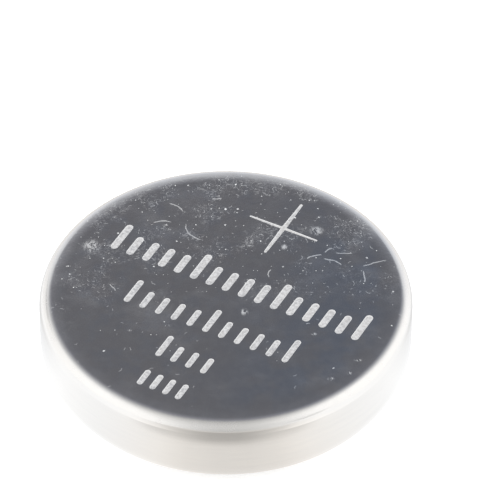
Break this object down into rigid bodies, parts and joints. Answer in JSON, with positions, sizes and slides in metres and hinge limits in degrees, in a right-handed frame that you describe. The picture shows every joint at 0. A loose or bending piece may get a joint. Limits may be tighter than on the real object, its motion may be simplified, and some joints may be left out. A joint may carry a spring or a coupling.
{
  "type": "lithium coin cell",
  "caption": "Flat round coin cell: drawn steel can curled over a plastic seal and a stepped cap, with contact faces on top and below.",
  "frame": {"origin": "centre of the negative contact face, where the cell rests", "axes": "+Z along the cell's axis, from the negative contact face to the positive face; +X and +Y are any two square directions across the cell"},
  "size_m": [0.0116, 0.0116, 0.003],
  "materials": {
    "can_steel": "bright drawn stainless steel, polished, with fine handling scratches on the face",
    "seal_plastic": "natural moulded polypropylene",
    "cap_steel": "bright pressed stainless steel",
    "lithium_metal": "dull silvery foil",
    "separator_felt": "white non-woven polypropylene",
    "cathode_black": "pressed black powder",
    "grid_steel": "expanded steel grid"
  },
  "bodies": {
    "root": {"positive_can": "can_steel", "gasket": "seal_plastic", "negative_cap": "cap_steel", "lithium_anode": "lithium_metal", "separator": "separator_felt", "cathode_pellet": "cathode_black", "collector_mesh": "grid_steel"}
  },
  "joints": []
}
